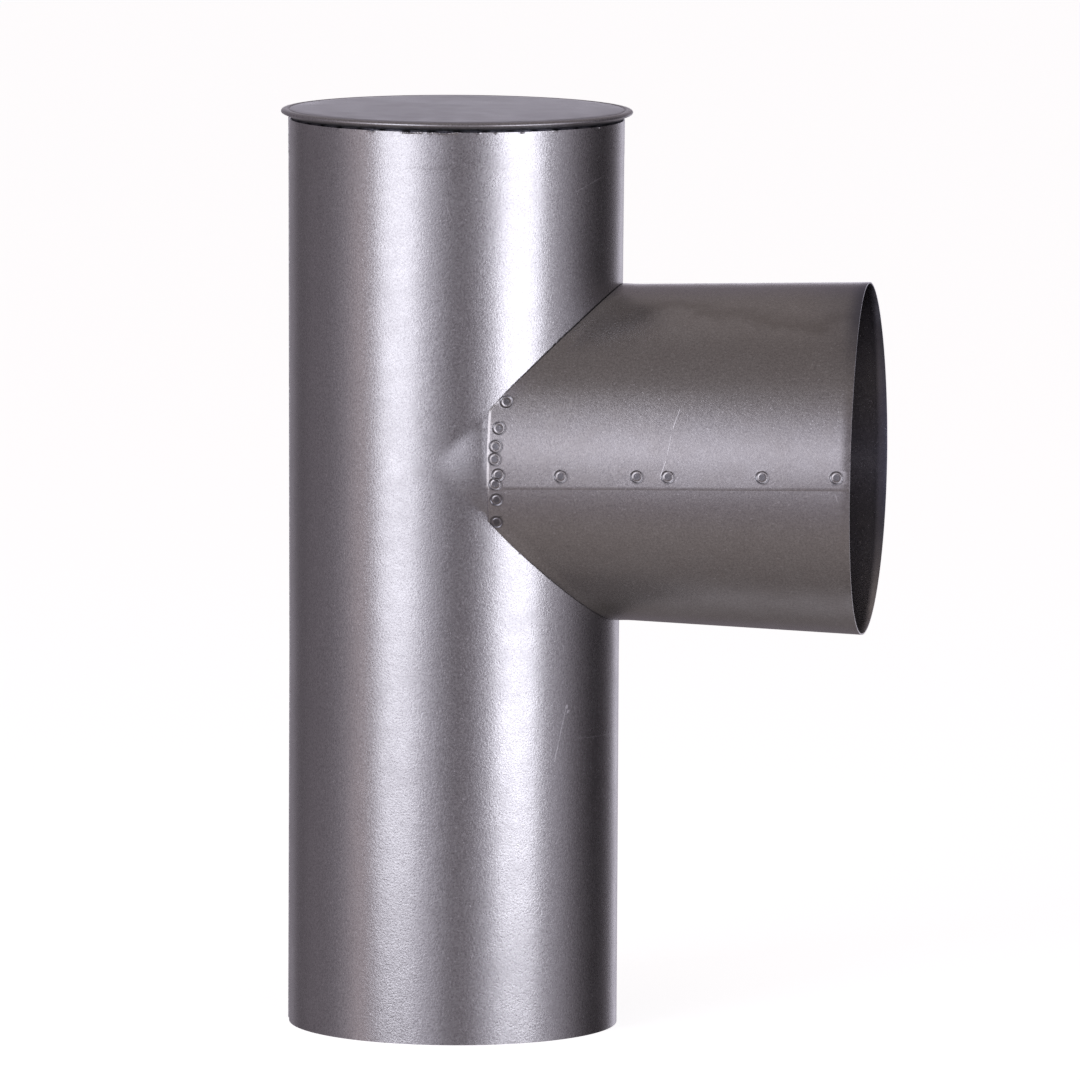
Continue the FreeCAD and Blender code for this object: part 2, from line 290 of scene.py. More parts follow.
@dataclass(frozen=True)
class SheetFinish:
    """Aluminised sheet steel: a satin mill finish with a fine sparkling grain.

    The tones are the metal's own colour, clean and handled, and the grain is the height of the
    finest bumps in millimetres. The duct's measures, in millimetres too, tell the inner face from
    the outer one. The inner shade is painted shade, a darkening of the inner face towards a
    blue-black, more of it near the branch's mouth; on the cap it also darkens the whole disc and
    skirt within the rim. The tide is the height of a wavy water stain, where there is one.
    """

    name: str
    tone: tuple[float, float, float]
    worn_tone: tuple[float, float, float]
    roughness: float = 0.27
    grain: float = 0.038
    speckle: float = 0.26
    scratches: tuple[Scratch, ...] = ()
    duct_radius: float = 75.0
    duct_start: float = 170.0
    duct_slope: float = 0.0049
    duct_level: float = 0.0
    tide: float = 0.0
    tide_width: float = 2.6
    tide_start: tuple[float, float] = (70.0, 100.0)
    # painted shade on the inner face, and more of it near the branch's mouth
    inner_shade: float = 0.34
    mouth_shade: float = 0.46
    mouth_start: tuple[float, float] = (181.0, 189.0)
    face_edge: tuple[float, float] = (0.2, 0.45)

    def material(self) -> bpy.types.Material:
        """Builds the finish as a material on object coordinates.

        Returns:
            The new material.
        """
        material = bpy.data.materials.new(self.name)
        material.use_nodes = True
        recipe = Recipe(material.node_tree)
        shader = material.node_tree.nodes["Principled BSDF"]
        place = recipe.node("ShaderNodeTexCoord", output="Object")
        x, y, z = recipe.millimetres(place)
        grain, blotch, smudge, sparkle = (self.cloud(recipe, place, kind) for kind in Cloud)
        marks = sparkle.step(0.66, 0.74) * 0.3
        front = y.step(0.0, -1.0)
        for scratch in self.scratches:
            marks = marks + scratch.mask(recipe, x, z) * front
        marks = marks.within()
        inside = self.inside(recipe, place)
        worn = (blotch * 0.9 + smudge * 1.3 - 0.6).within()
        tone = recipe.mix(worn, (*self.tone, 1.0), (*self.worn_tone, 1.0))
        speckle = ((grain - 0.5) * (-6 * self.speckle) + 0.2).within()
        tone = recipe.mix(speckle, tone, SPECK_TONE)
        # weld print burns, and on the cap painted shade in the crease and on the neck
        layer = {"attribute_name": PRINT_AND_SHADE_LAYER}
        burn_and_shade = recipe.node("ShaderNodeAttribute", layer, output="Fac")
        tone = recipe.mix(burn_and_shade * 0.85, tone, PRINT_AND_SHADE_TONE)
        tone = recipe.mix(marks * 0.9, tone, BRIGHT_TONE)
        if self.tide:
            wavy = z + (smudge - 0.5) * 26 + (blotch - 0.5) * 10
            line = wavy.bell(self.tide, self.tide_width) * x.step(*self.tide_start)
            tone = recipe.mix(line * 0.34, tone, TIDE_TONE)
        # painted shade: the inner face, and on the cap the disc and skirt within the rim, darkened
        inner_shade = x.step(*self.mouth_start) * self.mouth_shade + self.inner_shade
        tone = recipe.mix(inside * inner_shade, tone, INNER_SHADE_TONE)
        recipe.feed(shader.inputs["Base Color"], tone)
        uneven = (blotch - 0.5) * 0.1 + (smudge - 0.5) * 0.12 + (grain - 0.5) * 0.12
        rough = uneven + self.roughness + marks * 0.2 - inside * 0.04
        recipe.feed(shader.inputs["Roughness"], rough.within())
        shader.inputs["Metallic"].default_value = 1.0
        grit = (grain - 0.5) * (1 - inside * 0.7) * self.grain
        height = grit + (blotch - 0.5) * 0.05 + marks * 0.03
        relief = {"Distance": MM, "Strength": 1.0, "Height": height}
        recipe.feed(shader.inputs["Normal"], recipe.node("ShaderNodeBump", None, relief))
        return material

    def inside(self, recipe: Recipe, place: Value) -> Value:
        """Where the sheet's inner face is: 1 nearer to the duct's axis than the outer face."""
        x, y, z = recipe.millimetres(place)
        if self.duct_level:
            along, aside, other = x, y, z - self.duct_level
        else:
            along, aside, other = z, x, y
        past = (along - self.duct_start).maths("MAXIMUM", 0.0)
        outer = past * self.duct_slope + self.duct_radius
        return (outer - (aside * aside + other * other) ** 0.5).step(*self.face_edge)

    def cloud(self, recipe: Recipe, place: Value, kind: Cloud) -> Value:
        """One of the metal's noises over the surface, from 0 to 1."""
        scale, detail, rough = kind.value
        sockets = {"Vector": place, "Scale": scale, "Detail": detail, "Roughness": rough}
        return recipe.node("ShaderNodeTexNoise", {"normalize": True}, sockets)


def outward(mesh: bmesh.types.BMesh, away: Callable[[Vector], Vector]) -> None:
    """Turns an open sheet's faces so that they look away from its axis.

    Args:
        mesh: the sheet.
        away: gives the direction away from the axis at a point.
    """
    mesh.normal_update()
    face = next(iter(mesh.faces))
    if face.normal.dot(away(face.calc_center_median())) < 0:
        bmesh.ops.reverse_faces(mesh, faces=mesh.faces[:])
    mesh.normal_update()


def blank(columns: int, rows: int, place: Callable[[float, float], Vector]) -> bmesh.types.BMesh:
    """A flat blank of sheet, rolled to its shape.

    Args:
        columns: faces round the turn.
        rows: faces along the axis.
        place: takes the shares round and along, from 0 to 1, to the rolled place.

    Returns:
        The rolled sheet, one layer of faces.
    """
    mesh = bmesh.new()
    bmesh.ops.create_grid(mesh, x_segments=columns, y_segments=rows, size=0.5)
    for vert in mesh.verts:
        vert.co = place(vert.co.x + 0.5, vert.co.y + 0.5)
    return mesh


def as_object(name: str, mesh: bmesh.types.BMesh) -> bpy.types.Object:
    """Puts a finished bmesh into a new object of the scene."""
    data = bpy.data.meshes.new(name)
    mesh.to_mesh(data)
    mesh.free()
    piece = bpy.data.objects.new(name, data)
    bpy.context.scene.collection.objects.link(piece)
    return piece


def apply_modifiers(piece: bpy.types.Object) -> None:
    """Replaces a piece's mesh by what its modifiers make of it."""
    bpy.context.view_layer.update()
    evaluated = piece.evaluated_get(bpy.context.evaluated_depsgraph_get())
    data = bpy.data.meshes.new_from_object(evaluated)
    piece.modifiers.clear()
    piece.data = data


def thicken(piece: bpy.types.Object, sheet: float, edge: float) -> None:
    """Gives a one-layer sheet its thickness, inwards, and rounds its cut edges.

    Args:
        piece: the sheet.
        sheet: its thickness.
        edge: the width of the rounding.
    """
    solid = piece.modifiers.new("sheet", "SOLIDIFY")
    solid.thickness = sheet
    solid.offset = -1.0
    solid.use_even_offset = True
    apply_modifiers(piece)
    bevel = piece.modifiers.new("edges", "BEVEL")
    bevel.width = edge
    bevel.segments = 2
    bevel.limit_method = "ANGLE"
    bevel.angle_limit = math.radians(60)
    apply_modifiers(piece)


def carve(piece: bpy.types.Object, tool: bpy.types.Object, operation: str) -> None:
    """Cuts a closed tool out of a closed piece, or joins it on, and removes the tool.

    Args:
        piece: what is changed.
        tool: the closed mesh that works on it.
        operation: the Boolean modifier's operation.
    """
    boolean = piece.modifiers.new("carve", "BOOLEAN")
    boolean.operation = operation
    boolean.solver = "EXACT"
    boolean.object = tool
    apply_modifiers(piece)
    bpy.data.objects.remove(tool)


def dress(
    piece: bpy.types.Object,
    finish: SheetFinish,
    slot: Slot,
    body: Body,
    node: str,
    sharp: float = 30.0,
) -> None:
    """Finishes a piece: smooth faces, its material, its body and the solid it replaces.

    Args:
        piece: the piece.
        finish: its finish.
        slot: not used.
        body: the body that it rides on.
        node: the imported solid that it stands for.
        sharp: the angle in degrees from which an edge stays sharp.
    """
    for face in piece.data.polygons:
        face.use_smooth = True
    piece.data.set_sharp_from_angle(angle=math.radians(sharp))
    piece.data.materials.clear()
    piece.data.materials.append(finish.material())
    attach(piece, body.value)
    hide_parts(node)
    triangles = sum(len(face.vertices) - 2 for face in piece.data.polygons)
    LOG.info("%s: %d triangles", piece.name, triangles)


@dataclass(frozen=True)
class WeldPrint:
    """The mark of a spot welding electrode: a pressed ring round a flatter pad."""

    ring_radius: float = 2.75 * MM
    pad_radius: float = 1.75 * MM
    ring_depth: float = 0.27 * MM
    pad_depth: float = 0.1 * MM
    lip_height: float = 0.05 * MM
    ring_inside: tuple[float, float] = (-0.35 * MM, 0.25 * MM)
    ring_outside: tuple[float, float] = (-0.4 * MM, 0.1 * MM)
    pad_edge: float = 0.5 * MM
    lip_place: float = 0.25 * MM
    lip_width: float = 0.3 * MM
    burn_edge: float = 0.45 * MM
    line_width: float = 0.42 * MM
    pad_burn: float = 0.75
    line_burn: float = 0.8
    reach: float = 3.6 * MM
    finest: float = 0.36 * MM
    passes: int = 7

    def depth(self, distance: float) -> float:
        """How far the sheet is pushed in at a distance from the middle of the print."""
        ring = smooth(distance, *(self.pad_radius + part for part in self.ring_inside))
        ring *= 1 - smooth(distance, *(self.ring_radius + part for part in self.ring_outside))
        pad = 1 - smooth(distance, self.pad_radius - self.pad_edge, self.pad_radius)
        lip = bump(distance - self.ring_radius - self.lip_place, self.lip_width)
        return ring * self.ring_depth + pad * self.pad_depth - lip * self.lip_height

    def darkness(self, distance: float) -> float:
        """How dark the print is at a distance from its middle, from 0 to 1."""
        pad = 1 - smooth(distance, self.pad_radius - self.burn_edge, self.pad_radius)
        line = bump(distance - self.ring_radius, self.line_width)
        return min(1.0, self.pad_burn * pad + self.line_burn * line)

    def near(self, edge: bmesh.types.BMEdge, places: list[Vector]) -> bool:
        """Whether a long edge comes near to a print."""
        if edge.calc_length() < self.finest:
            return False
        start, end = (vert.co for vert in edge.verts)
        for place in places:
            point, share = geometry.intersect_point_line(place, start, end)
            point = start if share < 0 else end if share > 1 else point
            if (point - place).length < self.reach:
                return True
        return False

    def press(self, mesh: bmesh.types.BMesh, places: list[Vector]) -> None:
        """Presses prints into a one-layer sheet, after making it fine enough round them.

        Args:
            mesh: the sheet, with its faces looking outwards.
            places: the middles of the prints.
        """
        layer = mesh.verts.layers.float.new(PRINT_AND_SHADE_LAYER)
        for _ in range(self.passes):
            edges = [edge for edge in mesh.edges if self.near(edge, places)]
            bmesh.ops.subdivide_edges(mesh, edges=edges, cuts=1, use_grid_fill=True)
        mesh.normal_update()
        moves = []
        for vert in mesh.verts:
            for place in places:
                distance = (vert.co - place).length
                if distance < self.reach:
                    moves.append((vert, vert.normal.copy() * -self.depth(distance)))
                    vert[layer] = max(vert[layer], self.darkness(distance))
        for vert, move in moves:
            vert.co += move


@dataclass
class MainPipe:
    """The upright pipe: one rolled sheet with a lap seam behind and a collar for the branch.

    The rows and the seam's prints are heights in millimetres. A burr of the upper edge is its
    place in degrees from the front, then its half width, rise and outward bend in millimetres.
    The tongue's and the collar's side angles are in degrees.
    """

    radius: float = 75.0 * MM
    widening: float = 1.2 * MM
    widening_start: float = 170 * MM
    height: float = 414 * MM
    sheet: float = 0.6 * MM
    lap: float = 12 * MM
    lap_rise: float = 0.65 * MM
    lap_blend: float = 30 * MM
    hoop_height: float = 398 * MM
    hoop_rise: float = 0.07 * MM
    branch_height: float = 264 * MM
    branch_droop: float = 0.4
    collar_radius: float = 75.1 * MM
    collar_reach: float = 85 * MM
    tongue_radius: float = 75.42 * MM
    tongue_soft: float = 0.2 * MM
    tongue_dip: float = 1.4 * MM
    dip_place: float = 30.5 * MM
    dip_width: float = 9 * MM
    tongue_lean: float = 36.0
    tongue_rise: tuple[float, float] = (-8.0, 0.0)
    tongue_fall: tuple[float, float] = (35.0, 31.0)
    collar_tuck: float = 0.35 * MM
    collar_sides: tuple[float, float] = (28.0, 38.0)
    collar_rows: int = 6
    collar_edge: float = 0.15 * MM
    hole_depth: float = 120 * MM
    hole_inset: float = 0.9 * MM
    columns: int = 300
    crowding: float = 0.027
    rows: tuple[float, ...] = (
        0, 2, 20, 40, 60, 80, 100, 120, 140, 160, 170, 185, 200, 210, 216,
        *(218 + 2.5 * step for step in range(37)),
        312, 320, 340, 355, 370, 385, 395, 397, 397.6, 398.2, 398.8, 400, 406,
        411, 413, 413.5, 414,
    )
    edge_band: float = 1.0 * MM
    edge_cuts: int = 3
    frayed_front: float = 25 * MM
    flare_range: tuple[float, float] = (-0.1, 0.5)
    wave_height: float = 0.05
    wave_pace: float = 60
    fray_level: float = 0.6
    fray_swing: float = 0.9
    fray_pace: float = 160
    burrs: tuple[tuple[float, float, float, float], ...] = (
        (-21.5, 1.6, -0.5, 0.6), (-8.0, 2.6, -0.5, 0.8), (-4.4, 1.4, 0.2, 0.5),
        (-0.6, 1.2, -0.5, 0.5), (4.0, 3.2, -0.5, 0.8), (8.2, 1.6, 0.2, 0.5),
        (15.3, 0.9, -0.5, 0.8), (66.0, 1.0, -0.6, 0.9), (31.0, 1.2, -0.3, 0.4),
        (-35.5, 1.4, -0.3, 0.4), (44.0, 1.0, -0.3, 0.4), (22.0, 1.2, -0.2, 0.3),
    )
    seam_prints: tuple[float, ...] = (14, 48, 86, 121, 158, 195, 231, 268, 304, 339, 366, 396)

    def outer(self, height: float) -> float:
        """The outside radius at a height."""
        share = max(0.0, height - self.widening_start) / (self.height - self.widening_start)
        hoop = self.hoop_rise * smooth(height, self.hoop_height - MM, self.hoop_height + MM)
        return self.radius + self.widening * share + hoop

    def place(self, round_share: float, along_share: float) -> Vector:
        """The rolled place of a point of the blank.

        Args:
            round_share: the share of the blank's width, from the inner end of the lap.
            along_share: the share of the rows from the lower end.

        Returns:
            The point on the outer face.
        """
        index = round(along_share * (len(self.rows) - 1))
        height = self.rows[index] * MM
        half = self.lap / self.radius / 2
        crowded = round_share + self.crowding * math.sin(2 * FULL_TURN * round_share)
        turn = -half + crowded * (FULL_TURN + 2 * half)
        begin = FULL_TURN - half - self.lap_blend / self.radius
        radius = self.outer(height) + self.lap_rise * smooth(turn, begin, FULL_TURN - half)
        angle = math.pi + turn
        radius = self.tongue(angle, height, radius)
        return Vector((radius * math.cos(angle), radius * math.sin(angle), height))

    def tongue(self, angle: float, height: float, radius: float) -> float:
        """The radius where the collar's root rises out of the pipe at the front and the back.

        Args:
            angle: the direction of the point from +X.
            height: its height.
            radius: the plain pipe's radius there.

        Returns:
            The radius with the broad tongue, which leaves the pipe's round tangentially.
        """
        lean = math.asin(min(1.0, max(-1.0, math.cos(angle))))
        if abs(lean) > math.radians(self.tongue_lean):
            return radius
        aside = radius * math.sin(max(lean, 0.0))
        up = height - self.branch_height + aside * math.tan(math.radians(self.branch_droop))
        dip = self.tongue_dip * bump(aside - self.dip_place, self.dip_width)
        inside = (self.tongue_radius - dip) ** 2 - up**2
        if inside <= 0:
            return radius
        reach = min(math.sqrt(inside) / math.cos(max(lean, 0.0)), self.collar_reach)
        overlap = max(self.tongue_soft - abs(reach - radius), 0.0) / self.tongue_soft
        raised = max(reach, radius) + overlap**2 * self.tongue_soft / 4
        lean = math.degrees(lean)
        fade = smooth(lean, *self.tongue_rise) * smooth(lean, *self.tongue_fall)
        return radius + (raised - radius) * fade

    def ragged(self, mesh: bmesh.types.BMesh) -> None:
        """Chips and bends the upper cut edge, after making the sheet fine enough there.

        Args:
            mesh: the sheet.
        """
        top = self.height - self.edge_band
        edges = []
        for edge in mesh.edges:
            low = min(vert.co.z for vert in edge.verts)
            if low > top - MERGED and edge.verts[0].co.y < -self.frayed_front:
                edges.append(edge)
        bmesh.ops.subdivide_edges(mesh, edges=edges, cuts=self.edge_cuts, use_grid_fill=True)
        for vert in mesh.verts:
            share = smooth(vert.co.z, top, self.height)
            if share == 0.0:
                continue
            angle = math.atan2(vert.co.y, vert.co.x)
            front = math.degrees(math.remainder(angle + math.pi / 2, FULL_TURN))
            lift = self.wave_height * ripple(angle, self.wave_pace, 0.0, 3.0)
            flare = 0.0
            for where, width, rise, bend in self.burrs:
                gap = math.radians(front - where) * self.radius
                uneven = self.fray_swing * ripple(angle, self.fray_pace, where, 5.0)
                frayed = (self.fray_level + uneven) * bump(gap, width * MM)
                lift += rise * frayed
                flare += bend * frayed
            flare = min(max(flare, self.flare_range[0]), self.flare_range[1])
            vert.co.xy *= 1 + flare * MM * share / self.radius
            vert.co.z += lift * MM * share

    def along_branch(self, s: float, across: float, up: float) -> Vector:
        """A point by its place along the branch axis, towards the front of it and above it."""
        slope = math.radians(self.branch_droop)
        axis = Vector((math.cos(slope), 0.0, -math.sin(slope)))
        rise = Vector((math.sin(slope), 0.0, math.cos(slope)))
        start = Vector((0.0, 0.0, self.branch_height))
        return start + axis * s + rise * up + Vector((0.0, -across, 0.0))

    def collar(self) -> bpy.types.Object:
        """The edge of the branch hole, pulled out as a short tube round the branch axis."""
        wall = self.outer(self.branch_height) - self.sheet / 2

        def place(round_share: float, along_share: float) -> Vector:
            """A point of the collar's outer face."""
            angle = round_share * FULL_TURN
            side = abs(math.degrees(math.acos(abs(math.sin(angle)))))
            radius = self.collar_radius - self.collar_tuck * (1 - smooth(side, *self.collar_sides))
            across = radius * math.sin(angle)
            first = math.sqrt(max(0.0, wall**2 - across**2))
            last = math.sqrt(self.collar_reach**2 - across**2)
            s = first + (last - first) * along_share
            return self.along_branch(s, across, radius * math.cos(angle))

        mesh = blank(self.columns // 2, self.collar_rows, place)
        bmesh.ops.remove_doubles(mesh, verts=mesh.verts[:], dist=MERGED)
        outward(mesh, self.from_branch)
        piece = as_object("collar", mesh)
        thicken(piece, self.sheet, self.collar_edge)
        return piece

    def from_branch(self, point: Vector) -> Vector:
        """The direction away from the branch axis at a point."""
        return Vector((0.0, point.y, point.z - self.branch_height))

    def hole(self) -> bpy.types.Object:
        """The plug that cuts the way into the branch."""
        mesh = bmesh.new()
        radius = self.collar_radius - self.hole_inset
        bmesh.ops.create_cone(
            mesh, cap_ends=True, segments=self.columns // 2,
            radius1=radius, radius2=radius, depth=self.hole_depth,
        )
        turn = Matrix.Rotation(math.radians(90 + self.branch_droop), 4, "Y")
        shift = Matrix.Translation(self.along_branch(self.hole_depth / 2, 0.0, 0.0))
        bmesh.ops.transform(mesh, matrix=shift @ turn, verts=mesh.verts[:])
        return as_object("hole", mesh)

    def build(self, finish: SheetFinish) -> bpy.types.Object:
        """Builds the pipe and dresses it.

        Args:
            finish: the sheet's finish.

        Returns:
            The finished piece.
        """
        mesh = blank(self.columns, len(self.rows) - 1, self.place)
        outward(mesh, lambda point: Vector((point.x, point.y, 0.0)))
        lapped = self.outer(0.0) + self.lap_rise
        prints = [Vector((-lapped, 0.0, height * MM)) for height in self.seam_prints]
        WeldPrint().press(mesh, prints)
        self.ragged(mesh)
        piece = as_object("pipe_sheet_rolled", mesh)
        thicken(piece, self.sheet, CUT_EDGE)
        carve(piece, self.hole(), "DIFFERENCE")
        carve(piece, self.collar(), "UNION")
        dress(piece, finish, Slot.PIPE, Body.PIPE, "main_pipe", 9.0)
        return piece


@dataclass
class BranchPipe:
    """The branch: one rolled, conical sheet, cut to a saddle at its root and spot welded.

    A tongue print lies so many millimetres along the branch axis and degrees below it, a seam
    print so many millimetres along. The mouth's wave holds the millimetres of its sine, cosine
    and level, then of both at twice the angle. A frayed spot is its place and half width in
    degrees and its share of the fray's height.
    """

    main: MainPipe
    root_radius: float = 75.75 * MM
    mouth_radius: float = 80.09 * MM
    knee: float = 60 * MM
    knee_half: float = 32 * MM
    straight_cut: float = 25.6 * MM
    reach: float = 190 * MM
    clearance: float = 0.4 * MM
    bell: float = 0.7 * MM
    seam_root: float = 10.3 * MM
    seam_mouth: float = 6.0 * MM
    columns: int = 300
    rows: int = 46
    edge_rows: int = 5
    edge_step: float = 0.28 * MM
    row_spread: float = 1.25
    saddle_blend: float = 12 * MM
    bell_length: float = 7 * MM
    bell_least: float = 0.4
    cut_roll: float = 0.24 * MM
    roll_width: float = 1.15 * MM
    spring: float = 0.22 * MM
    spring_share: float = 0.7
    spring_fade: tuple[float, float] = (170 * MM, 145 * MM)
    mouth_wave: tuple[float, ...] = (0.76, -0.28, -0.96, 0.41, -0.55)
    fray_height: float = 1.2 * MM
    fray_width: float = 0.9 * MM
    fray_pace: float = 70
    frayed_spots: tuple[tuple[float, float, float], ...] = ((45.5, 4.5, 1.0), (64, 6, 0.6))
    tongue_prints: tuple[tuple[float, float], ...] = (
        (33.3, -22.4), (30.5, -13.1), (29.4, -6.9), (29.1, -2.6),
        (30.8, 2.7), (29.5, 5.9), (29.9, 11.5), (29.6, 19.7),
    )
    seam_prints: tuple[float, ...] = (59.2, 93.8, 107.9, 150.7, 184.3)

    def outer(self, s: float) -> float:
        """The outside radius at a distance along the branch axis."""
        slope = (self.mouth_radius - self.root_radius) / (self.reach - self.knee)
        begin = self.knee - self.knee_half
        bent = min(max(s - begin, 0.0), 2 * self.knee_half)
        past = max(0.0, s - self.knee - self.knee_half)
        return self.root_radius + slope * (bent**2 / (4 * self.knee_half) + past)

    def seam_angle(self, s: float) -> float:
        """The angle of the seam's edge from the top, towards the front."""
        share = (s - self.straight_cut) / (self.reach - self.straight_cut)
        drop = self.seam_root + (self.seam_mouth - self.seam_root) * share
        return math.pi / 2 + math.asin(drop / self.outer(s))

    def root(self, angle: float) -> float:
        """Where the sheet starts along the branch axis: at the saddle or at the straight cut."""
        across = self.root_radius * math.sin(angle)
        up = self.root_radius * math.cos(angle)
        pipe = self.main.outer(self.main.branch_height + up) + self.clearance
        saddle = math.sqrt(max(0.0, pipe**2 - across**2))
        saddle -= up * math.sin(math.radians(self.main.branch_droop))
        return max(saddle, self.straight_cut)

    def mouth(self, angle: float) -> float:
        """Where the sheet ends along the branch axis: its cut isn't quite square."""
        parts = (math.sin(angle), math.cos(angle), 1.0, math.sin(2 * angle), math.cos(2 * angle))
        return self.reach + sum(size * part for size, part in zip(self.mouth_wave, parts)) * MM

    def place(self, round_share: float, along_share: float) -> Vector:
        """The rolled place of a point of the blank.

        Args:
            round_share: the share of the blank's width, from the inner end of the lap.
            along_share: the share of the way from the root to the mouth.

        Returns:
            The point on the outer face.
        """
        row = along_share * self.rows
        strip = min(row, self.edge_rows) * self.edge_step
        along = (max(0.0, row - self.edge_rows) / (self.rows - self.edge_rows)) ** self.row_spread
        s = self.straight_cut + strip + (self.reach - self.straight_cut - strip) * along
        lap = self.main.lap / self.root_radius
        for _ in range(2):
            angle = self.seam_angle(s) - lap + round_share * (FULL_TURN + lap)
            begin = self.root(angle)
            s = begin + strip + (self.mouth(angle) - begin - strip) * along
        last = self.seam_angle(s) + FULL_TURN
        blend = last - (self.main.lap + self.main.lap_blend) / self.root_radius
        radius = self.outer(s) + self.main.lap_rise * smooth(angle, blend, last - lap)
        loose = max(0.0, angle - last + lap * self.spring_share) / (lap * self.spring_share)
        radius += self.spring * loose**2 * smooth(s, *self.spring_fade)
        saddle = smooth(begin, self.straight_cut, self.straight_cut + self.saddle_blend)
        flare = 1 - smooth(s - begin, 0.0, self.bell_length)
        sideways = self.bell_least + (1 - self.bell_least) * abs(math.sin(angle))
        radius += self.bell * saddle * flare * sideways
        radius -= self.cut_roll * (1 - saddle) * smooth(s - begin, self.roll_width, 0.0)
        turn = math.degrees(angle) % 360
        frayed = sum(part * bump(turn - spot, width) for spot, width, part in self.frayed_spots)
        frayed *= smooth(s - begin, self.fray_width, 0.0)
        radius += self.fray_height * frayed * abs(ripple(angle, self.fray_pace, 0.0, 7.0))
        return self.main.along_branch(s, radius * math.sin(angle), radius * math.cos(angle))

    def prints(self) -> list[Vector]:
        """The middles of the spot weld prints: both tongues and the seam."""
        places = []
        for s, below in self.tongue_prints:
            side = math.radians(90 + below)
            for angle in (side, -side):
                places.append(self.on_sheet(s * MM, angle))
        for s in self.seam_prints:
            angle = self.seam_angle(s * MM) - self.main.lap / 2 / self.outer(s * MM)
            places.append(self.on_sheet(s * MM, angle))
        return places

    def on_sheet(self, s: float, angle: float) -> Vector:
        """A point of the outer face, which stands higher where it laps over."""
        edge = self.seam_angle(s)
        begin = edge - (self.main.lap + self.main.lap_blend) / self.root_radius
        rise = smooth(angle, begin, edge - self.main.lap / self.root_radius)
        radius = self.outer(s) + (self.main.lap_rise * rise if 0 < angle < edge else 0.0)
        return self.main.along_branch(s, radius * math.sin(angle), radius * math.cos(angle))

    def build(self, finish: SheetFinish) -> bpy.types.Object:
        """Builds the branch and dresses it.

        Args:
            finish: the sheet's finish.

        Returns:
            The finished piece.
        """
        mesh = blank(self.columns, self.rows, self.place)
        outward(mesh, self.main.from_branch)
        WeldPrint().press(mesh, self.prints())
        piece = as_object("branch_sheet_rolled", mesh)
        thicken(piece, self.main.sheet, CUT_EDGE)
        dress(piece, finish, Slot.BRANCH, Body.PIPE, "branch_pipe", 40.0)
        return piece


